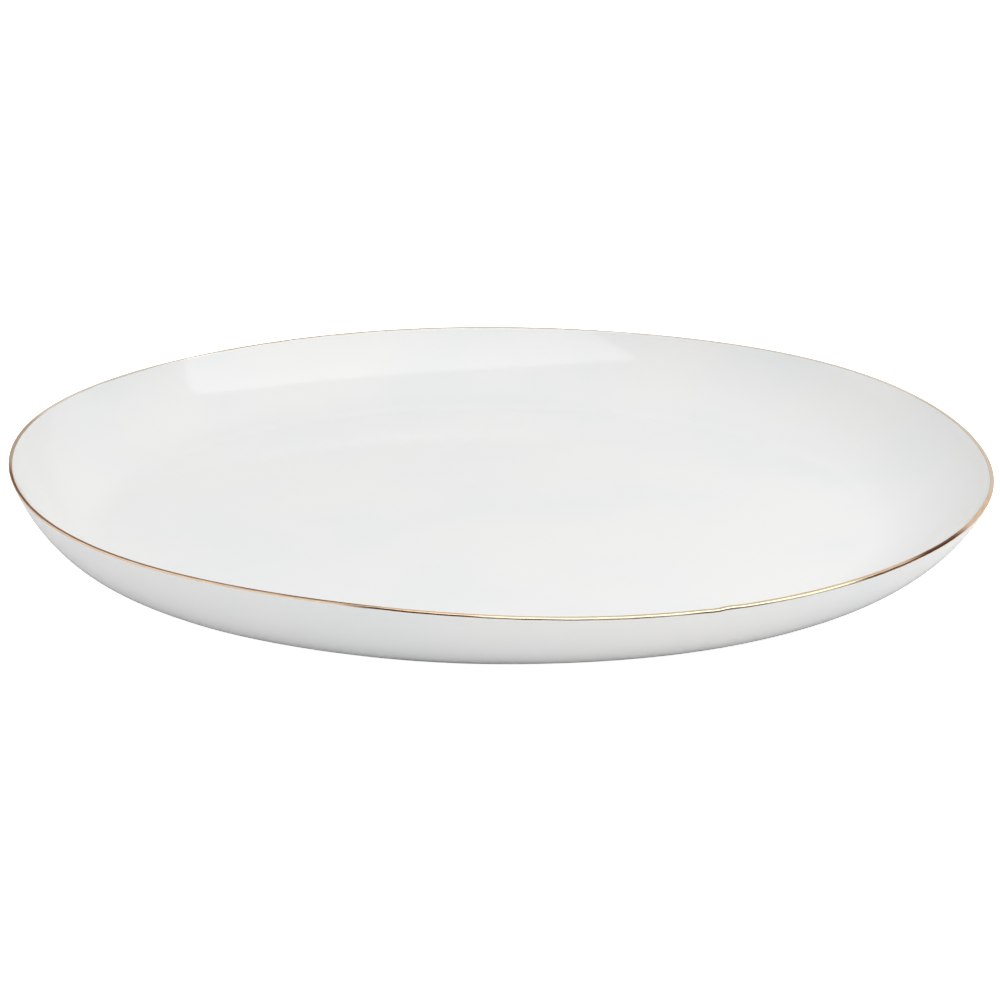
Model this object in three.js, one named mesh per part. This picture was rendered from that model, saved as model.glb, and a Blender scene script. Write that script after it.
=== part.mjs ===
import * as THREE from 'three';

// A large round serving platter in white porcelain: a wide flat well, a steep curved wall,
// a foot ring underneath, a clear glaze and a gold rim. It is made from a hand-shaped
// model, so its outline and the height of its rim waver a little.
// Millimetres, +Z up. The foot ring stands on z = 0, centred under the outline.

// Driving dimensions of the finished, glazed and gilded piece.
const HALF_LENGTH = 190.8; // plan, along X, before the waver
const HALF_WIDTH = 186.4; // plan, along Y, before the waver
const HEIGHT = 33.1; // crest of the lip above the table, before the waver
const LIP = 1.6; // thickness of the lip, gold included
const LIP_LEAN_OUT = 22; // degrees: how far the outer wall leans out at the lip
const LIP_LEAN_IN = 28; // degrees: the same for the inner wall, which is less steep
const WALL_RUN = 38; // from the rim in to the foot ring
const FOOT_JOINT = 2.4; // height at which the outer wall runs into the foot ring
const BELLY_SLOPE = 5; // degrees: how much the outer wall still rises where it leaves the foot
const WELL_RUN = 43; // from the rim in to the flat floor of the well
const WELL_HEIGHT = 7.4; // floor of the well above the table
const FOOT_WIDTH = 4; // unglazed land that touches the table
const GLAZE_LINE = 0.7; // bare clay above the table, on both sides of the foot ring
const BARE_TAPER = 0.6; // how much each side of the foot ring splays up to the glaze line
const FOOT_FLARE = 1.2; // how much each side splays above the glaze line
const RECESS_HEIGHT = 3; // underside of the floor, inside the foot ring
const RECESS_CORNER = 2.4; // width of the curve from the foot ring to the underside
const GLAZE = 0.3; // thickness of the glaze
const GOLD = 0.15; // thickness of the gold band
const GAP = 0.05; // clearance that keeps the coats separate solids
const GOLD_DROP = 0.2; // how far the gold runs down the outside, below the round of the lip

// Waver of the hand-shaped model, as [waves round the rim, size, angle of one crest in degrees].
const OUTLINE_WAVES = [[2, 1.7, -44], [3, 0.8, -54], [4, 0.8, -43]];
const RIM_WAVES = [[1, 1.7, 158], [2, 0.8, 30], [4, 0.3, -24], [5, 0.5, 34]];
const RIM_SHIFT = 2.6; // the rim sits off the foot ring's centre by this much, towards +X
const WAVER_POWER = 2.6; // how quickly the rim's rise and fall dies away down the wall

// Facets.
const SEGMENTS = 48;
const WALL_STEPS = 6;
const LIP_STEPS = 4;

const RIM_RADIUS = (HALF_LENGTH + HALF_WIDTH) / 2;
const FOOT_RADIUS = RIM_RADIUS - WALL_RUN;
const LAND_OUTSIDE = FOOT_RADIUS - FOOT_FLARE - BARE_TAPER;
const LAND_INSIDE = LAND_OUTSIDE - FOOT_WIDTH;
const WELL_RADIUS = RIM_RADIUS - WELL_RUN;
const COAT = GOLD + GAP; // the glaze under the gold lies this far inside the finished lip
const LIP_ROUND = LIP / 2 - COAT; // radius of the glazed lip, under the gold

const at = (radius, height) => new THREE.Vector2(radius, height);
const along = (degrees, length) => {
  const angle = THREE.MathUtils.degToRad(degrees);
  return at(length * Math.cos(angle), length * Math.sin(angle));
};

// One side of the wall, as a cubic curve between two points with a slope at each end.
function wallCurve(start, startDirection, startReach, end, endDirection, endReach) {
  const span = start.distanceTo(end);
  const curve = new THREE.CubicBezierCurve(
    start,
    start.clone().add(along(startDirection, span * startReach)),
    end.clone().add(along(endDirection, span * endReach)),
    end,
  );
  return curve.getPoints(WALL_STEPS);
}

// The glazed outline from the glaze line outside the foot, up the wall, over the lip and
// down to the middle of the well. The solid is on its left.
function glazedOutline() {
  const lipCentre = at(RIM_RADIUS - LIP / 2, HEIGHT - LIP / 2);
  const lip = [];
  for (let step = 0; step <= LIP_STEPS; step += 1) {
    const turn = THREE.MathUtils.lerp(-LIP_LEAN_OUT, 180 - LIP_LEAN_IN, step / LIP_STEPS);
    lip.push(lipCentre.clone().add(along(turn, LIP_ROUND)));
  }
  const joint = at(FOOT_RADIUS, FOOT_JOINT);
  const outer = wallCurve(joint, BELLY_SLOPE, 0.4, lip[0], -90 - LIP_LEAN_OUT, 0.32);
  const inner = wallCurve(
    lip[LIP_STEPS], -90 - LIP_LEAN_IN, 0.3, at(WELL_RADIUS, WELL_HEIGHT), 0, 0.42,
  );
  const footSide = at(LAND_OUTSIDE + BARE_TAPER, GLAZE_LINE);
  return [footSide, ...outer, ...lip.slice(1), ...inner.slice(1), at(0, WELL_HEIGHT)];
}

// The glazed outline of the recess, from the middle of the underside out to the glaze line
// inside the foot.
function recessOutline() {
  const footSide = LAND_INSIDE - BARE_TAPER;
  const corner = footSide - FOOT_FLARE;
  return [
    at(0, RECESS_HEIGHT),
    at(corner - RECESS_CORNER, RECESS_HEIGHT),
    at(corner, RECESS_HEIGHT * 0.75),
    at(footSide, GLAZE_LINE),
  ];
}

// A copy of an open outline moved sideways into the solid, with its segments kept parallel.
function inset(outline, depth) {
  const normals = outline.slice(1).map((point, index) => {
    const run = point.clone().sub(outline[index]).normalize();
    return at(-run.y, run.x);
  });
  return outline.map((point, index) => {
    const before = normals[Math.max(index - 1, 0)];
    const after = normals[Math.min(index, normals.length - 1)];
    const shift = before.clone().add(after).multiplyScalar(depth / (1 + before.dot(after)));
    return point.clone().add(shift);
  });
}

// The outline of a coat that lies between two depths under an open outline. It starts and
// ends on the axis where the coat reaches it, and closes on itself where it doesn't.
function coat(outline, outerDepth, innerDepth) {
  const outside = inset(outline, outerDepth);
  const inside = inset(outline, innerDepth).reverse();
  if (outline[0].x === 0) {
    return [...outside, ...inside];
  }
  if (outline.at(-1).x === 0) {
    return [...inside, ...outside];
  }
  return [...outside, ...inside, outside[0].clone()];
}

// How far out the rim stands and how high it rises at an angle round the platter.
function waver(waves, angle) {
  return waves.reduce(
    (sum, [count, size, crest]) =>
      sum + size * Math.cos(count * (angle - THREE.MathUtils.degToRad(crest))),
    0,
  );
}

// Turns a round form into the hand-shaped one.
function handShape(geometry) {
  const position = geometry.attributes.position;
  for (let index = 0; index < position.count; index += 1) {
    const x = position.getX(index);
    const y = position.getY(index);
    const radius = Math.hypot(x, y);
    const angle = Math.atan2(y, x);
    const oval = 1 / Math.hypot(Math.cos(angle) / HALF_LENGTH, Math.sin(angle) / HALF_WIDTH);
    const stretch = (oval + waver(OUTLINE_WAVES, angle)) / RIM_RADIUS;
    const upWall = THREE.MathUtils.clamp((radius - FOOT_RADIUS) / WALL_RUN, 0, 1);
    const lift = waver(RIM_WAVES, angle) * upWall ** WAVER_POWER;
    position.setXYZ(
      index,
      x * stretch + RIM_SHIFT * upWall,
      y * stretch,
      position.getZ(index) + lift,
    );
  }
  geometry.computeVertexNormals();
  return geometry;
}

// A named piece turned from its outline about the Z axis.
function turnedPiece(name, outline, material) {
  const geometry = new THREE.LatheGeometry(outline, SEGMENTS);
  geometry.rotateX(Math.PI / 2);
  const piece = new THREE.Mesh(handShape(geometry), material);
  piece.name = name;
  return piece;
}

const bisque = new THREE.MeshStandardMaterial({ color: 0xe9e4da, roughness: 0.9, metalness: 0 });
const glaze = new THREE.MeshStandardMaterial({ color: 0xf2f3f2, roughness: 0.12, metalness: 0 });
const gold = new THREE.MeshStandardMaterial({ color: 0xd9a95f, roughness: 0.25, metalness: 1 });

// The fired clay body, cast in one piece with its foot ring.
function porcelainBody() {
  const clay = GLAZE + GAP;
  const recess = inset(recessOutline(), clay);
  const land = [at(LAND_INSIDE, 0), at(LAND_OUTSIDE, 0)];
  const wall = inset(glazedOutline(), clay);
  return turnedPiece('porcelain_body', [...recess, ...land, ...wall], bisque);
}

// The glaze from the glaze line outside the foot, over the lip to the middle of the well.
function glazeCoat() {
  return turnedPiece('glaze_coat', coat(glazedOutline(), 0, GLAZE), glaze);
}

// The glaze on the underside, inside the foot ring.
function baseGlaze() {
  return turnedPiece('base_glaze', coat(recessOutline(), 0, GLAZE), glaze);
}

// The gold band, painted over the glaze round the lip and a little way down the outside.
function goldRim() {
  const outline = glazedOutline();
  const lipStart = 1 + WALL_STEPS;
  const lip = outline.slice(lipStart, lipStart + LIP_STEPS + 1);
  const down = outline[lipStart - 1].clone().sub(lip[0]).setLength(GOLD_DROP);
  const band = [lip[0].clone().add(down), ...lip];
  return turnedPiece('gold_rim', coat(band, -GOLD - GAP, -GAP), gold);
}

const platter = new THREE.Group();
platter.add(porcelainBody(), glazeCoat(), baseGlaze(), goldRim());

// The outline's middle goes on the Z axis.
const middle = new THREE.Box3().setFromObject(platter).getCenter(new THREE.Vector3());
for (const piece of platter.children) {
  piece.position.set(-middle.x, -middle.y, 0);
}

export default platter;
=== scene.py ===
# Looks of a large round china serving platter: white porcelain under a clear gloss glaze,
# a bare foot ring and a gold rim. The meshes are made in millimetres and stored in metres,
# in the frame of the CAD model.
import math

import bpy
import numpy as np
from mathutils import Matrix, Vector, noise


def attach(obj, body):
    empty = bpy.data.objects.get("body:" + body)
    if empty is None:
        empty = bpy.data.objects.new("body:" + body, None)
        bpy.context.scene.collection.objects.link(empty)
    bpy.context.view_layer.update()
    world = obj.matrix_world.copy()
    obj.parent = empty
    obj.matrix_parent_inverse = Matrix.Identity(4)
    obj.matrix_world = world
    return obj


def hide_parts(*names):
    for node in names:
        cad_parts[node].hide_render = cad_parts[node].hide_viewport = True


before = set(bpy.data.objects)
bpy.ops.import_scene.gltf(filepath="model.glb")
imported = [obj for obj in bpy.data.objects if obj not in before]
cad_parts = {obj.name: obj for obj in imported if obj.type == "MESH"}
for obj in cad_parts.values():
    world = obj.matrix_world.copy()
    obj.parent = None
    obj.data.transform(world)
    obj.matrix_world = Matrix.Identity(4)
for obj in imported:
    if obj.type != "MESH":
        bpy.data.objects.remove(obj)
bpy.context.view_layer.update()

MM = 0.001

# Millimetres and degrees of the finished, glazed and gilded piece, the same as in the CAD
# model, where the foot ring stands on z = 0.
HALF_LENGTH = 190.8  # plan, along X, before the waver
HALF_WIDTH = 186.4  # plan, along Y, before the waver
HEIGHT = 33.1  # crest of the lip, before the waver
LIP = 1.6  # thickness of the lip
LIP_LEAN_OUT = 22  # how far the outer wall leans out at the lip
LIP_LEAN_IN = 28  # the same for the inner wall
WALL_RUN = 38  # from the rim in to the foot ring
FOOT_JOINT = 2.4  # height at which the outer wall runs into the foot ring
BELLY_SLOPE = 5  # how much the outer wall rises where it leaves the foot ring
WELL_RUN = 43  # from the rim in to the flat floor of the well
WELL_HEIGHT = 7.4  # floor of the well above the table
FOOT_WIDTH = 4  # bare land that touches the table
GLAZE_LINE = 0.7  # bare clay above the table, on both sides of the foot ring
BARE_TAPER = 0.6  # splay of each side of the foot ring up to the glaze line
FOOT_FLARE = 1.2  # splay of each side above the glaze line
RECESS_HEIGHT = 3  # underside of the floor, inside the foot ring
RECESS_CORNER = 2.4  # width of the curve from the foot ring to the underside
GLAZE = 0.3  # thickness of the glaze

# How long the curve of each side of the wall keeps its slope at its start and at its end, in
# shares of its span. The outer side starts at the foot ring, the inner side at the lip.
OUTER_REACHES = (0.4, 0.32)
INNER_REACHES = (0.3, 0.42)

# The waver of the hand-shaped model: waves round the rim, size, angle of one crest.
OUTLINE_WAVES = [(2, 1.7, -44), (3, 0.8, -54), (4, 0.8, -43)]
RIM_WAVES = [(1, 1.7, 158), (2, 0.8, 30), (4, 0.3, -24), (5, 0.5, 34)]
RIM_SHIFT = 2.6  # the rim sits off the foot ring's centre by this much, towards +X
WAVER_POWER = 2.6  # how quickly the rim's rise and fall dies away down the wall

# Finer than in the CAD model, in millimetres and degrees.
GOLD = 0.03  # how far the gold film stands above its own edges
GOLD_DROP = 0.35  # how far it runs down the outside, below the lip
GAP = 0.01  # how far its edges stand above the glaze; its inner face lies at half of that
CLAY_GAP = 0.05  # between the glaze and the clay
LIP_TILT = 2  # how much the flat top of the lip tips inwards
LIP_EDGE = 0.36  # radius of the edges on both sides of the flat top
LIP_SHIFT = 0.25  # the lip's middle lies in by this much, so that its edges fit the size
LIP_DROP = 0.1  # and down by this much
STEP_ANGLE = -66.4  # a small step in the rim, where the maker's hand slipped
STEP_WIDTH = 0.9  # degrees round the rim, to either side of the step's middle
STEP_SIZE = 0.22  # up on one side and down on the other
FOOT_HOLLOW = 0.2  # the foot ring's side rounds off a corner this far below the foot joint
RIPPLE_SIZE = 0.12  # slow unevenness of the clay under the glaze
RIPPLE_LENGTH = 45
RIPPLE_END = 2  # no ripple nearer than this to the crest of the lip
RIPPLE_FADE_TOP = 6  # height over which the ripple fades below that
RIPPLE_FADE_FOOT = 3  # height over which it fades above the foot joint
LAND_EDGE_RUN = 0.2  # the land's worn edges: how far in along the land they start,
LAND_EDGE_HEIGHT = 0.2  # how high they reach,
LAND_EDGE_CORNER = 0.15  # how far out the corner lies that they round off,
LAND_EDGE_SIDE = 0.25  # and how far out they end
GOLD_UNEVEN = 0.14  # how much the film's edges wander
GOLD_UNEVEN_LENGTH = 9
GOLD_EDGE_SEEDS = (3.1, 8.7)  # for the outer and the inner edge
GOLD_BLUNTNESS = 8  # how suddenly the film ends at its edges: an even number

# Colours of the gold film: the first two are its own tones, the rest painted reflections,
# painted shade and a painted highlight.
BRIGHT_GOLD = (0.95, 0.75, 0.54, 1)
DEEP_GOLD = (0.78, 0.52, 0.33, 1)
PALE_REFLECTION_GOLD = (0.90, 0.86, 0.78, 1)
BROWN = (0.09, 0.035, 0.02, 1)
UMBER = (0.13, 0.055, 0.03, 1)
TAN = (0.55, 0.46, 0.36, 1)
PALE = (0.80, 0.74, 0.62, 1)
GLINT_SHADE = (0.50, 0.45, 0.36, 1)
PAINTED_HIGHLIGHT_YELLOW = (1.0, 0.94, 0.64, 1)

# Painted reflections, painted shade and a painted highlight in the gold, each over those before
# it:
# from and to in degrees round the rim, from and to across the band (0 at its outer edge, 1 at
# its inner edge), and colour.
GOLD_PAINTED_REFLECTIONS = [
    # Painted highlight along the middle of the band at the front.
    (268, 312, 0.18, 0.60, PAINTED_HIGHLIGHT_YELLOW),
    # Painted reflections of the bright room, at the right end of the rim.
    (345, 363, 0.0, 1.0, PALE),
    (-3, 24, 0.0, 1.0, PALE),
    # Painted shade over the band's inner edge at the back, where the softbox would glint.
    (76, 131, 0.70, 1.0, GLINT_SHADE),
    # Painted reflections of dark parts of the room, at the front and the left.
    (168, 190, 0.30, 1.0, TAN),
    (188, 256, 0.38, 0.82, UMBER),
    (254, 268, 0.0, 0.28, BROWN),
    (266, 302, 0.0, 0.19, BROWN),
    (300, 318, 0.0, 0.13, BROWN),
    # Painted shadow under the step in the rim.
    (290.5, 296, 0.0, 0.25, BROWN),
    # Painted reflections of dark parts of the room, at the front and the right.
    (310, 322, 0.16, 0.36, BROWN),
    (320, 331, 0.18, 0.82, BROWN),
]
GOLD_LINE_FADE = 3.0  # degrees over which a line starts and ends
GOLD_LINE_SOFTNESS = 0.05  # across the band
GOLD_LINE_WANDER = 0.25  # how far the brush streaks push a line's edges across the band

# Mesh steps: round the platter, then along each stretch of its outline.
SEGMENTS = 480
WALL_STEPS = 44
LIP_STEPS = 14
FLOOR_STEPS = 24
FOOT_STEPS = 6
RECESS_STEPS = 10
LAND_STEPS = 3
GOLD_STEPS = 18
HIDDEN_SPACING = 4  # the glaze's inner face has one ring for each four of the outer face
SHARP_ANGLE = 50  # degrees: edges sharper than this aren't shaded smooth

RIM_RADIUS = (HALF_LENGTH + HALF_WIDTH) / 2
FOOT_RADIUS = RIM_RADIUS - WALL_RUN
LAND_OUTSIDE = FOOT_RADIUS - FOOT_FLARE - BARE_TAPER
LAND_INSIDE = LAND_OUTSIDE - FOOT_WIDTH
WELL_RADIUS = RIM_RADIUS - WELL_RUN
LIP_ROUND = LIP / 2 - GOLD - GAP
ANGLES = np.linspace(0, 2 * np.pi, SEGMENTS, endpoint=False)


# ---- Outlines: arrays of (radius, height) in millimetres, solid on the left ----------------

def along(degrees, length=1.0):
    """A step in a direction, counted from outwards to upwards."""
    angle = math.radians(degrees)
    return np.array([math.cos(angle), math.sin(angle)]) * length


def wall_curve(start, start_direction, end, end_direction, reaches):
    """One side of the wall: a cubic curve with a slope at each end."""
    span = np.linalg.norm(end - start)
    near_start = start + along(start_direction, span * reaches[0])
    near_end = end + along(end_direction, span * reaches[1])
    t = np.linspace(0, 1, WALL_STEPS + 1)[:, None]
    return (
        (1 - t) ** 3 * start
        + 3 * (1 - t) ** 2 * t * near_start
        + 3 * (1 - t) * t ** 2 * near_end
        + t ** 3 * end
    )


def lip_curve():
    """The glazed lip, from outside to inside: a flat top between two rounded edges."""
    middle = np.array([RIM_RADIUS - LIP / 2 - LIP_SHIFT, HEIGHT - LIP / 2 - LIP_DROP])
    outward, upward, inward = -LIP_LEAN_OUT, 90 + LIP_TILT, 180 - LIP_LEAN_IN
    reach = LIP_ROUND - LIP_EDGE
    curve = []
    for first, second in ((outward, upward), (upward, inward)):
        sides = np.array([along(first), along(second)])
        centre = middle + np.linalg.solve(sides, [reach, reach])
        for turn in np.linspace(first, second, LIP_STEPS // 2 + 1):
            curve.append(centre + along(turn, LIP_EDGE))
    return np.array(curve)


def outer_wall():
    """From the foot ring up to the lip."""
    joint = np.array([FOOT_RADIUS, FOOT_JOINT])
    lip = lip_curve()[0]
    return wall_curve(joint, BELLY_SLOPE, lip, -90 - LIP_LEAN_OUT, OUTER_REACHES)


def inner_wall():
    """From the lip down to the edge of the well's floor."""
    lip = lip_curve()[-1]
    floor_edge = np.array([WELL_RADIUS, WELL_HEIGHT])
    return wall_curve(lip, -90 - LIP_LEAN_IN, floor_edge, 0, INNER_REACHES)


def rounded(start, corner, end, steps):
    """A corner as a short curve from start to end."""
    t = np.linspace(0, 1, steps + 1)[:, None]
    start, corner, end = (np.array(point, float) for point in (start, corner, end))
    return (1 - t) ** 2 * start + 2 * (1 - t) * t * corner + t ** 2 * end


def glazed_outline():
    """The glazed surface from the glaze line outside the foot to the middle of the well."""
    foot_side = rounded(
        (LAND_OUTSIDE + BARE_TAPER, GLAZE_LINE),
        (LAND_OUTSIDE + BARE_TAPER + FOOT_FLARE / 2, FOOT_JOINT - FOOT_HOLLOW),
        outer_wall()[0],
        FOOT_STEPS,
    )
    floor_radius = WELL_RADIUS * np.linspace(1, 0, FLOOR_STEPS + 1)[1:]
    floor = np.column_stack([floor_radius, np.full(FLOOR_STEPS, float(WELL_HEIGHT))])
    return np.vstack([foot_side, outer_wall()[1:], lip_curve()[1:], inner_wall()[1:], floor])


def recess_outline():
    """The glazed surface inside the foot ring, from the middle to the glaze line."""
    foot_side = LAND_INSIDE - BARE_TAPER
    corner = foot_side - FOOT_FLARE
    flat_radius = (corner - RECESS_CORNER) * np.linspace(0, 1, FLOOR_STEPS + 1)
    flat = np.column_stack([flat_radius, np.full(FLOOR_STEPS + 1, float(RECESS_HEIGHT))])
    bend = rounded(flat[-1], (corner, RECESS_HEIGHT), (foot_side, GLAZE_LINE), RECESS_STEPS)
    return np.vstack([flat, bend[1:]])


def normals_of(outline):
    """Unit normals into the solid at each point of an outline."""
    run = np.gradient(outline, axis=0)
    run /= np.linalg.norm(run, axis=1)[:, None]
    return np.column_stack([-run[:, 1], run[:, 0]])


def inset(outline, depth):
    """The outline moved sideways into the solid; points on the axis stay on it."""
    moved = outline + normals_of(outline) * depth
    moved[outline[:, 0] == 0, 0] = 0
    return moved


# ---- From outlines to hand-shaped meshes ---------------------------------------------------

def waver(waves, angle):
    """How far the waves reach at an angle round the platter."""
    return sum(size * np.cos(n * (angle - math.radians(crest))) for n, size, crest in waves)


def hand_shape(radius, height, angle):
    """The place of a point of the round form on the hand-shaped platter, in millimetres."""
    oval = 1 / np.hypot(np.cos(angle) / HALF_LENGTH, np.sin(angle) / HALF_WIDTH)
    stretch = (oval + waver(OUTLINE_WAVES, angle)) / RIM_RADIUS
    up_wall = np.clip((radius - FOOT_RADIUS) / WALL_RUN, 0, 1)
    degrees_past = (np.degrees(angle) - STEP_ANGLE + 180) % 360 - 180
    past_step = degrees_past / STEP_WIDTH
    step = STEP_SIZE * past_step * np.exp(0.5 - 0.5 * past_step ** 2)
    lift = (waver(RIM_WAVES, angle) + step) * up_wall ** WAVER_POWER
    return np.stack(
        np.broadcast_arrays(
            radius * np.cos(angle) * stretch + RIM_SHIFT * up_wall,
            radius * np.sin(angle) * stretch,
            height + lift,
        ),
        axis=-1,
    )


rim = hand_shape(RIM_RADIUS, HEIGHT, ANGLES)
MIDDLE = np.array([*(rim.min(axis=0) + rim.max(axis=0))[:2] / 2, 0])


def ripple(places):
    """Slow unevenness of the clay, from -1 to 1, at places in millimetres."""
    return np.array([noise.noise(Vector(place / RIPPLE_LENGTH)) for place in places])


def rings(outline, ripple_size=None):
    """One ring of points for each point of an outline, in millimetres. ripple_size is how
    far the clay's unevenness moves each ring along its normal."""
    found = []
    into_solid = normals_of(outline)
    for index, (radius, height) in enumerate(outline):
        if radius == 0:
            found.append(hand_shape(np.array([0.0]), height, np.array([0.0])))
            continue
        ring = hand_shape(np.full(SEGMENTS, radius), height, ANGLES)
        if ripple_size is not None and ripple_size[index] > 0:
            out = -into_solid[index]
            swell = ripple(ring) * ripple_size[index]
            ring[:, 0] += out[0] * np.cos(ANGLES) * swell
            ring[:, 1] += out[0] * np.sin(ANGLES) * swell
            ring[:, 2] += out[1] * swell
        found.append(ring)
    return found


def skin(name, rows, closed=False):
    """A mesh object through rings of points; a ring of one point is a pole. closed joins
    the last ring to the first."""
    starts = np.cumsum([0] + [len(row) for row in rows])
    faces = []
    pairs = list(zip(range(len(rows) - 1), range(1, len(rows))))
    if closed:
        pairs.append((len(rows) - 1, 0))
    for low, high in pairs:
        for step in range(SEGMENTS):
            after = (step + 1) % SEGMENTS
            if len(rows[low]) == 1:
                faces.append([starts[low], starts[high] + after, starts[high] + step])
            elif len(rows[high]) == 1:
                faces.append([starts[low] + step, starts[low] + after, starts[high]])
            else:
                faces.append([
                    starts[low] + step, starts[low] + after,
                    starts[high] + after, starts[high] + step,
                ])
    places = (np.vstack(rows) - MIDDLE) * MM
    mesh = bpy.data.meshes.new(name)
    mesh.from_pydata(places.tolist(), [], [[int(v) for v in face] for face in faces])
    mesh.shade_smooth()
    mesh.set_sharp_from_angle(angle=math.radians(SHARP_ANGLE))
    piece = bpy.data.objects.new(name, mesh)
    bpy.context.scene.collection.objects.link(piece)
    return piece


def stand_for(piece, node, material):
    """The piece takes a CAD node's place and gets its finish."""
    piece.data.materials.append(material)
    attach(piece, "root")
    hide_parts(node)


# ---- Materials -----------------------------------------------------------------------------

COOL_WHITE = (0.785, 0.80, 0.795, 1)
WARM_WHITE = (0.815, 0.812, 0.80, 1)
IRON = (0.42, 0.36, 0.29, 1)
SPECK_SHARE = 0.028  # share of the cells that hold a speck
SPECK_RADIUS = (0.012, 0.03)  # of its full tone and of the whole, in widths of a cell
SPECK_STRENGTH = 0.45
GLAZE_IOR = 1.52
GLAZE_ROUGHNESS = (0.05, 0.11)
DARK_CLAY = (0.70, 0.665, 0.60, 1)
LIGHT_CLAY = (0.80, 0.775, 0.72, 1)
RUBBED_CLAY = (0.52, 0.50, 0.46, 1)
CLAY_ROUGHNESS = (0.8, 0.95)
GOLD_ROUGHNESS = (0.12, 0.26)

GRAZING_GOLD = (0.94, 0.79, 0.71, 1)  # tint of reflections at a grazing angle
DARK_PAPER = (0.88, 0.88, 0.88, 1)
LIGHT_PAPER = (0.90, 0.90, 0.90, 1)

# Fineness of the procedural patterns: features in one metre.
CLOUDS = 14
SPECKS = 60
UNEVEN_GLOSS = 40
ORANGE_PEEL = 420
CLAY_GRAIN = 2600
RUBBED_PATCHES = 70
PAPER_FIBRE = 900

# The brush streaks in the gold: features in one turn of the rim, and across the band.
BRUSH_STREAKS = (150, 9, 1)

# Depth of the bump in each surface, in metres.
PEEL_BUMP = 0.000004
CLAY_BUMP = 0.00006
GOLD_BUMP = 0.00001

# Where the painted reflection of the bright room, a paler gold, starts and where it is
# complete: how far behind the middle, in metres, and where across the band.
PALE_BEHIND = (-0.05, 0.08)
PALE_ACROSS = (0.40, 0.60)


class Nodes:
    """Short calls to fill a node tree."""

    def __init__(self, tree):
        self.tree = tree
        tree.nodes.clear()

    def add(self, kind, settings=None, **inputs):
        """A node with settings, and inputs by name, with _ for a space in the name."""
        node = self.tree.nodes.new(kind)
        for key, value in (settings or {}).items():
            setattr(node, key, value)
        for key, value in inputs.items():
            self.put(node.inputs[key.replace("_", " ")], value)
        return node

    def put(self, socket, value):
        """Links an output to a socket, or sets the socket's value."""
        if isinstance(value, bpy.types.NodeSocket):
            self.tree.links.new(value, socket)
        else:
            socket.default_value = value

    def math(self, operation, first, second=0.0):
        node = self.tree.nodes.new("ShaderNodeMath")
        node.operation = operation
        self.put(node.inputs[0], first)
        self.put(node.inputs[1], second)
        return node.outputs[0]

    def ramp(self, value, low, high, from_value=0.0, to_value=1.0):
        """value from low..high to from_value..to_value, smoothly and clamped."""
        node = self.add("ShaderNodeMapRange", {"interpolation_type": "SMOOTHSTEP"})
        sockets = ("Value", "From Min", "From Max", "To Min", "To Max")
        for socket, number in zip(sockets, (value, low, high, from_value, to_value)):
            self.put(node.inputs[socket], number)
        return node.outputs["Result"]

    def between(self, value, low, high, softness):
        """1 where value lies between low and high, 0 elsewhere, with soft edges."""
        above = self.ramp(value, low - softness, low + softness)
        below = self.ramp(value, high - softness, high + softness, 1.0, 0.0)
        return self.math("MULTIPLY", above, below)

    def mix(self, share, first, second):
        """Two colours mixed. The node's colour sockets are inputs 6 and 7 and output 2."""
        node = self.add("ShaderNodeMix", {"data_type": "RGBA"})
        self.put(node.inputs["Factor"], share)
        self.put(node.inputs[6], first)
        self.put(node.inputs[7], second)
        return node.outputs[2]

    def noise(self, place, scale, detail=2.0):
        node = self.add("ShaderNodeTexNoise", Vector=place, Scale=scale, Detail=detail)
        return node.outputs["Fac"]

    def bump(self, height, distance):
        node = self.add("ShaderNodeBump", Height=height, Distance=distance, Strength=1.0)
        return node.outputs["Normal"]


def new_material(name):
    """An empty material with its node calls and its surface shader."""
    material = bpy.data.materials.new(name)
    material.use_nodes = True
    nodes = Nodes(material.node_tree)
    surface = nodes.add("ShaderNodeBsdfPrincipled")
    output = nodes.add("ShaderNodeOutputMaterial")
    nodes.put(output.inputs["Surface"], surface.outputs["BSDF"])
    return material, nodes, surface


def glazed_porcelain():
    """White porcelain under a clear gloss glaze: a faint cool and warm clouding, a very
    fine orange peel and a few iron specks."""
    material, nodes, surface = new_material("glazed_porcelain")
    place = nodes.add("ShaderNodeTexCoord").outputs["Object"]
    cloud = nodes.ramp(nodes.noise(place, CLOUDS), 0.35, 0.65)
    white = nodes.mix(cloud, COOL_WHITE, WARM_WHITE)
    cells = nodes.add("ShaderNodeTexVoronoi", Vector=place, Scale=SPECKS).outputs
    chance = nodes.add("ShaderNodeSeparateColor", Color=cells["Color"]).outputs["Red"]
    has_speck = nodes.math("GREATER_THAN", chance, 1 - SPECK_SHARE)
    core = nodes.ramp(cells["Distance"], *SPECK_RADIUS, 1.0, 0.0)
    speck = nodes.math("MULTIPLY", nodes.math("MULTIPLY", has_speck, core), SPECK_STRENGTH)
    nodes.put(surface.inputs["Base Color"], nodes.mix(speck, white, IRON))
    gloss = nodes.ramp(nodes.noise(place, UNEVEN_GLOSS), 0, 1, *GLAZE_ROUGHNESS)
    nodes.put(surface.inputs["Roughness"], gloss)
    surface.inputs["IOR"].default_value = GLAZE_IOR
    peel = nodes.noise(place, ORANGE_PEEL, 1.0)
    nodes.put(surface.inputs["Normal"], nodes.bump(peel, PEEL_BUMP))
    return material


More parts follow.
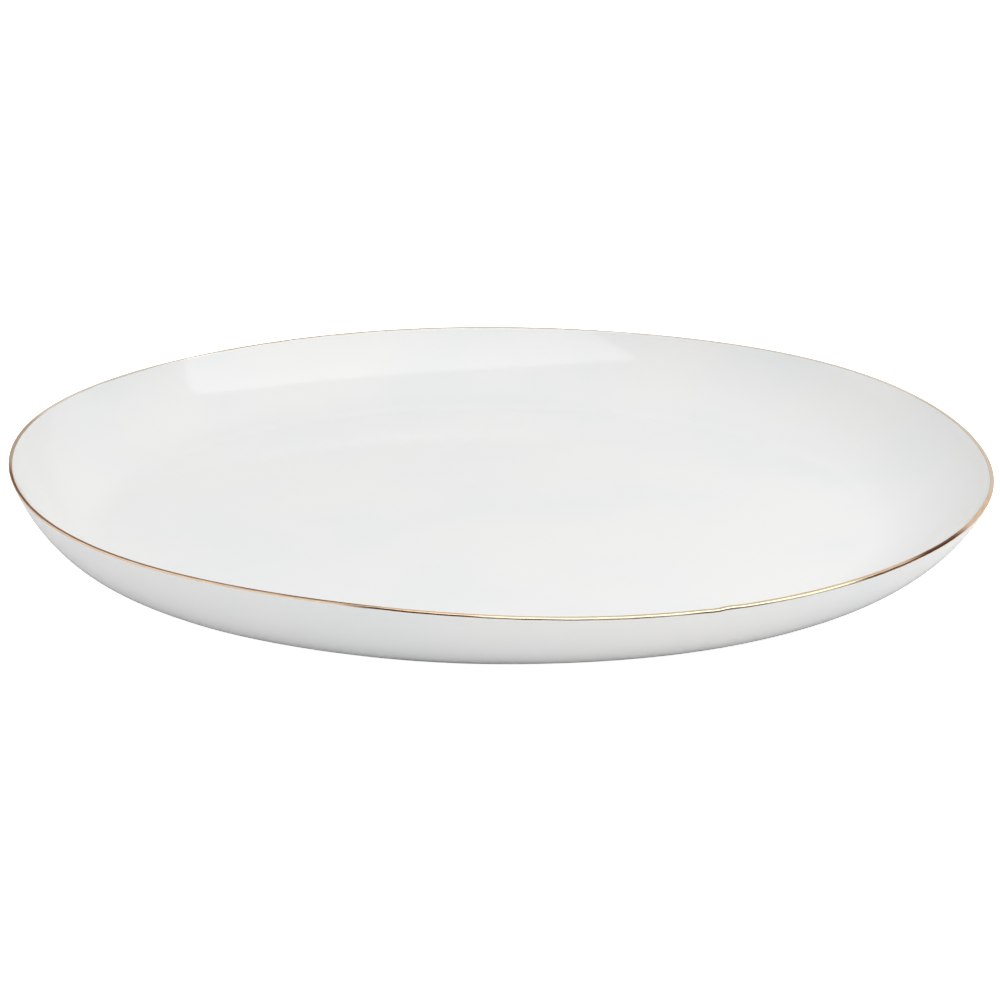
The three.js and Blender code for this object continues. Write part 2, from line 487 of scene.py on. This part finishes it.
def bare_clay():
    """Fired, unglazed porcelain: matt, warm white, with a fine grain and a little grey
    rubbed into it."""
    material, nodes, surface = new_material("bare_clay")
    place = nodes.add("ShaderNodeTexCoord").outputs["Object"]
    grain = nodes.noise(place, CLAY_GRAIN, 3.0)
    rubbed = nodes.ramp(nodes.noise(place, RUBBED_PATCHES, 5.0), 0.5, 0.75)
    clay = nodes.mix(nodes.ramp(grain, 0.3, 0.7), DARK_CLAY, LIGHT_CLAY)
    nodes.put(surface.inputs["Base Color"], nodes.mix(rubbed, clay, RUBBED_CLAY))
    nodes.put(surface.inputs["Roughness"], nodes.ramp(grain, 0, 1, *CLAY_ROUGHNESS))
    nodes.put(surface.inputs["Normal"], nodes.bump(grain, CLAY_BUMP))
    return material


def gold_lustre():
    """Burnished gold painted on by hand, with long fine brush streaks round the rim. Its colour
    also holds painted light: brown lines that are painted reflections of dark parts of the room,
    a painted shadow under the step, a painted highlight, painted shade on the inner edge where
    the softbox would glint, and a paler inner half of the band towards the back, a painted
    reflection of the bright room."""
    material, nodes, surface = new_material("gold_lustre")
    surface.inputs["Metallic"].default_value = 1.0
    surface.inputs["Specular Tint"].default_value = GRAZING_GOLD
    band = nodes.add("ShaderNodeUVMap", {"uv_map": "band"}).outputs["UV"]
    stretched = nodes.add("ShaderNodeMapping", Vector=band, Scale=BRUSH_STREAKS)
    streaks = nodes.noise(stretched.outputs["Vector"], 1.0, 4.0)
    axes = nodes.add("ShaderNodeSeparateXYZ", Vector=band).outputs
    degrees = nodes.math("MULTIPLY", axes["X"], 360)
    wander = nodes.math("MULTIPLY", nodes.math("SUBTRACT", streaks, 0.5), GOLD_LINE_WANDER)
    across = nodes.math("ADD", axes["Y"], wander)
    tone = nodes.mix(nodes.ramp(streaks, 0.3, 0.7), DEEP_GOLD, BRIGHT_GOLD)
    place = nodes.add("ShaderNodeTexCoord").outputs["Object"]
    backwards = nodes.add("ShaderNodeSeparateXYZ", Vector=place).outputs["Y"]
    far_side = nodes.ramp(backwards, *PALE_BEHIND)
    inner_half = nodes.ramp(across, *PALE_ACROSS)
    # Painted reflection of the bright room: the inner half of the band turns paler towards the
    # back.
    painted_pale_reflection = nodes.math("MULTIPLY", far_side, inner_half)
    tone = nodes.mix(painted_pale_reflection, tone, PALE_REFLECTION_GOLD)
    # Painted reflections, painted shade and a painted highlight laid over the gold's tone.
    for start, end, low, high, colour in GOLD_PAINTED_REFLECTIONS:
        line = nodes.math(
            "MULTIPLY",
            nodes.between(degrees, start, end, GOLD_LINE_FADE),
            nodes.between(across, low, high, GOLD_LINE_SOFTNESS),
        )
        tone = nodes.mix(line, tone, colour)
    nodes.put(surface.inputs["Base Color"], tone)
    nodes.put(surface.inputs["Roughness"], nodes.ramp(streaks, 0.2, 0.8, *GOLD_ROUGHNESS))
    nodes.put(surface.inputs["Normal"], nodes.bump(streaks, GOLD_BUMP))
    return material


def floor_paper():
    """Plain white studio paper. It glows for the camera, so that it stays pale, and a very
    little for everything else."""
    material, nodes, surface = new_material("floor_paper")
    place = nodes.add("ShaderNodeTexCoord").outputs["Object"]
    fibre = nodes.noise(place, PAPER_FIBRE, 3.0)
    nodes.put(surface.inputs["Base Color"], nodes.mix(fibre, DARK_PAPER, LIGHT_PAPER))
    surface.inputs["Roughness"].default_value = 0.9
    surface.inputs["Specular IOR Level"].default_value = 0.2
    surface.inputs["Emission Color"].default_value = (1, 1, 1, 1)
    seen = nodes.add("ShaderNodeLightPath").outputs["Is Camera Ray"]
    glow = nodes.ramp(seen, 0, 1, FLOOR_LIGHT, FLOOR_GLOW)
    nodes.put(surface.inputs["Emission Strength"], glow)
    return material


# ---- Pieces --------------------------------------------------------------------------------

def ripple_sizes(outline):
    """How far the clay ripples at each point of an outline: most on the wall, less towards
    the middle, and not at the lip, where the gold lies, or at the foot ring."""
    radius, height = outline.T
    below_lip = np.clip((HEIGHT - RIPPLE_END - height) / RIPPLE_FADE_TOP, 0, 1)
    above_foot = np.clip((height - FOOT_JOINT) / RIPPLE_FADE_FOOT, 0, 1)
    towards_middle = np.clip(radius / WELL_RADIUS, 0, 1) ** 2
    return RIPPLE_SIZE * below_lip * above_foot * towards_middle


def main_glaze():
    """The coat from the foot ring's outside, over the lip, to the middle of the well. Its
    inner face, which lies on the clay, is coarser."""
    outline = glazed_outline()
    hidden = inset(outline, GLAZE)[::-HIDDEN_SPACING]
    return skin("main_glaze", rings(hidden) + rings(outline, ripple_sizes(outline)))


def recess_glaze():
    """The coat on the underside, inside the foot ring."""
    outline = recess_outline()
    return skin("recess_glaze", rings(outline) + rings(inset(outline, GLAZE)[::-1]))


def platter_clay():
    """The fired body with its bare foot ring."""
    depth = GLAZE + CLAY_GAP
    recess = inset(recess_outline(), depth)
    wall = inset(glazed_outline(), depth)
    inner_edge = rounded(
        (LAND_INSIDE - LAND_EDGE_SIDE, LAND_EDGE_HEIGHT),
        (LAND_INSIDE - LAND_EDGE_CORNER, 0),
        (LAND_INSIDE + LAND_EDGE_RUN, 0),
        LAND_STEPS,
    )
    outer_edge = rounded(
        (LAND_OUTSIDE - LAND_EDGE_RUN, 0),
        (LAND_OUTSIDE + LAND_EDGE_CORNER, 0),
        (LAND_OUTSIDE + LAND_EDGE_SIDE, LAND_EDGE_HEIGHT),
        LAND_STEPS,
    )
    return skin("platter_clay", rings(np.vstack([recess, inner_edge, outer_edge, wall])))


def lip_start():
    """The place of the lip's first point in the glazed outline."""
    return FOOT_STEPS + WALL_STEPS


def mark_band(piece, shares):
    """UV places on the gold: U from 0 to 1 round the rim, V from 0 to 1 across the band. In
    the faces where the turn ends, U goes on past 1 instead of back to 0."""
    layer = piece.data.uv_layers.new(name="band")
    for loop in piece.data.loops:
        row, step = divmod(loop.vertex_index, SEGMENTS)
        layer.data[loop.index].uv = (step / SEGMENTS, shares[row])
    for face in piece.data.polygons:
        corners = [layer.data[index] for index in face.loop_indices]
        if max(c.uv.x for c in corners) - min(c.uv.x for c in corners) > 0.5:
            for corner in corners:
                if corner.uv.x < 0.5:
                    corner.uv.x += 1


def gold_band():
    """The gold round the lip: a thin film with uneven edges."""
    outline = glazed_outline()
    run = np.concatenate([[0], np.cumsum(np.linalg.norm(np.diff(outline, axis=0), axis=1))])
    normals = normals_of(outline)
    places = np.column_stack([np.cos(ANGLES), np.sin(ANGLES)]) * RIM_RADIUS / GOLD_UNEVEN_LENGTH
    edges = []
    ends = (run[lip_start()] - GOLD_DROP, run[lip_start() + LIP_STEPS + 1])
    for seed, edge, inward in zip(GOLD_EDGE_SEEDS, ends, (1, -1)):
        uneven = np.array([noise.noise(Vector((x, y, seed))) for x, y in places])
        edges.append(edge + inward * GOLD_UNEVEN * uneven)
    across = np.linspace(0, 1, GOLD_STEPS + 1)
    outside = GAP + GOLD * np.sqrt(1 - (2 * across - 1) ** GOLD_BLUNTNESS)
    inside = np.full(GOLD_STEPS + 1, GAP / 2)
    shares = np.concatenate([across, across[::-1]])
    rows = []
    for share, thickness in zip(shares, np.concatenate([outside, inside])):
        reach = edges[0] + (edges[1] - edges[0]) * share
        place = [np.interp(reach, run, outline[:, axis]) for axis in (0, 1)]
        normal = [np.interp(reach, run, normals[:, axis]) for axis in (0, 1)]
        rows.append(hand_shape(
            place[0] - normal[0] * thickness, place[1] - normal[1] * thickness, ANGLES,
        ))
    piece = skin("gold_band", rows, closed=True)
    mark_band(piece, shares)
    return piece


def build_platter():
    """The four pieces, each in its finish."""
    glaze = glazed_porcelain()
    stand_for(platter_clay(), "porcelain_body", bare_clay())
    stand_for(main_glaze(), "glaze_coat", glaze)
    stand_for(recess_glaze(), "base_glaze", glaze)
    stand_for(gold_band(), "gold_rim", gold_lustre())


# ---- Studio, in metres ---------------------------------------------------------------------

CAMERA_DISTANCE = 1.3305
CAMERA_ELEVATION = 18  # degrees above the table
CAMERA_AIM = Vector((0.0, 0.0, 0.01313))
LENS = 122.4  # focal length in millimetres
NEAREST_SEEN = 0.01
FARTHEST_SEEN = 50
FLOOR_SIZE = 12.0
FLOOR_HEIGHT = -0.0001  # just clear of the foot ring
FLOOR_GLOW = 0.95  # emission that the camera sees
FLOOR_LIGHT = 0.012  # emission that lights the platter

# The softbox: the way to it, its long side, how far away it is, and its corners, along and
# across the long side, in shares of that distance.
SOFTBOX_DIRECTION = Vector((0.30, -0.30, 0.91))
SOFTBOX_LONG_SIDE = Vector((0.844, 0.527, -0.104))
SOFTBOX_DISTANCE = 1.6
SOFTBOX_CORNERS = [(1.15, -0.8), (0.74, 0.37), (-0.64, 0.47), (-1.2, -0.8)]
SOFTBOX_BRIGHTNESS = 1.93

# The room round the table: from and to in degrees aside (0 is straight behind the platter,
# 90 to its right) and in degrees up, and brightness. Each part covers those before it.
ROOM = 0.81  # brightness outside every part
ROOM_PARTS = [
    (-10, 370, 60, 120, 0.88),
    (-60, 60, -90, 27, 0.92),
    (2, 60, 10, 30, 1.01),
    (-130, -60, -90, 30, 1.25),
    (60, 115, -90, 30, 0.62),
    (115, 180, -90, 27, 0.29),
    (180, 245, -90, 27, 0.74),
    (115, 210, 27, 75, 0.94),
    (210, 290, 35, 78, 0.80),
    (115, 200, -5, 13, 0.33),
]
ROOM_SOFTNESS = 5  # degrees to either side of a part's edge
BACKDROP = 1.0  # brightness of the room where the camera sees it


def camera():
    """In front of the platter and a little above it."""
    data = bpy.data.cameras.new("camera")
    data.lens = LENS
    data.clip_start = NEAREST_SEEN
    data.clip_end = FARTHEST_SEEN
    view = bpy.data.objects.new("camera", data)
    angle = math.radians(CAMERA_ELEVATION)
    view.location = CAMERA_AIM + Vector((0, -math.cos(angle), math.sin(angle))) * CAMERA_DISTANCE
    view.rotation_euler = (math.radians(90 - CAMERA_ELEVATION), 0, 0)
    bpy.context.scene.collection.objects.link(view)
    bpy.context.scene.camera = view


def floor():
    """The sheet of paper under the platter."""
    half = FLOOR_SIZE / 2
    sides = [(-half, -half), (half, -half), (half, half), (-half, half)]
    mesh = bpy.data.meshes.new("floor")
    mesh.from_pydata([(x, y, FLOOR_HEIGHT) for x, y in sides], [], [(0, 1, 2, 3)])
    mesh.materials.append(floor_paper())
    ground = bpy.data.objects.new("floor", mesh)
    bpy.context.scene.collection.objects.link(ground)


def softbox():
    """A long softbox overhead, in front and to the right."""
    back = SOFTBOX_DIRECTION.normalized()
    side = SOFTBOX_LONG_SIDE.normalized()
    up = back.cross(side)
    corners = [(back + side * a + up * b) * SOFTBOX_DISTANCE for a, b in SOFTBOX_CORNERS]
    mesh = bpy.data.meshes.new("softbox")
    mesh.from_pydata([tuple(corner) for corner in corners], [], [(0, 1, 2, 3)])
    material = bpy.data.materials.new("softbox_cloth")
    material.use_nodes = True
    nodes = Nodes(material.node_tree)
    cloth = nodes.add("ShaderNodeEmission", Strength=SOFTBOX_BRIGHTNESS)
    output = nodes.add("ShaderNodeOutputMaterial")
    nodes.put(output.inputs["Surface"], cloth.outputs["Emission"])
    mesh.materials.append(material)
    lamp = bpy.data.objects.new("softbox", mesh)
    lamp.visible_camera = False
    bpy.context.scene.collection.objects.link(lamp)


def room():
    """The room that lights the platter and is mirrored in it; the camera sees plain white."""
    world = bpy.data.worlds.new("room")
    bpy.context.scene.world = world
    world.use_nodes = True
    nodes = Nodes(world.node_tree)
    direction = nodes.add("ShaderNodeTexCoord").outputs["Generated"]
    axes = nodes.add("ShaderNodeSeparateXYZ", Vector=direction).outputs
    level = nodes.math("SQRT", nodes.math(
        "ADD",
        nodes.math("MULTIPLY", axes["X"], axes["X"]),
        nodes.math("MULTIPLY", axes["Y"], axes["Y"]),
    ))
    aside = nodes.math("DEGREES", nodes.math("ARCTAN2", axes["X"], axes["Y"]))
    rise = nodes.math("DEGREES", nodes.math("ARCTAN2", axes["Z"], level))
    glow = ROOM
    for left, right, low, high, brightness in ROOM_PARTS:
        from_middle = nodes.math(
            "PINGPONG", nodes.math("SUBTRACT", aside, (left + right) / 2), 180.0,
        )
        half = (right - left) / 2
        window = nodes.math(
            "MULTIPLY",
            nodes.between(from_middle, -half, half, ROOM_SOFTNESS),
            nodes.between(rise, low, high, ROOM_SOFTNESS),
        )
        glow = nodes.ramp(window, 0, 1, glow, brightness)
    seen = nodes.add("ShaderNodeLightPath").outputs["Is Camera Ray"]
    strength = nodes.ramp(seen, 0, 1, glow, BACKDROP)
    background = nodes.add("ShaderNodeBackground", Strength=strength)
    output = nodes.add("ShaderNodeOutputWorld")
    nodes.put(output.inputs["Surface"], background.outputs["Background"])


def view_settings():
    """Plain colours: no film curve and no exposure change."""
    settings = bpy.context.scene.view_settings
    settings.view_transform = "Standard"
    settings.look = "None"
    settings.exposure = 0
    settings.gamma = 1


camera()
build_platter()
floor()
softbox()
room()
view_settings()
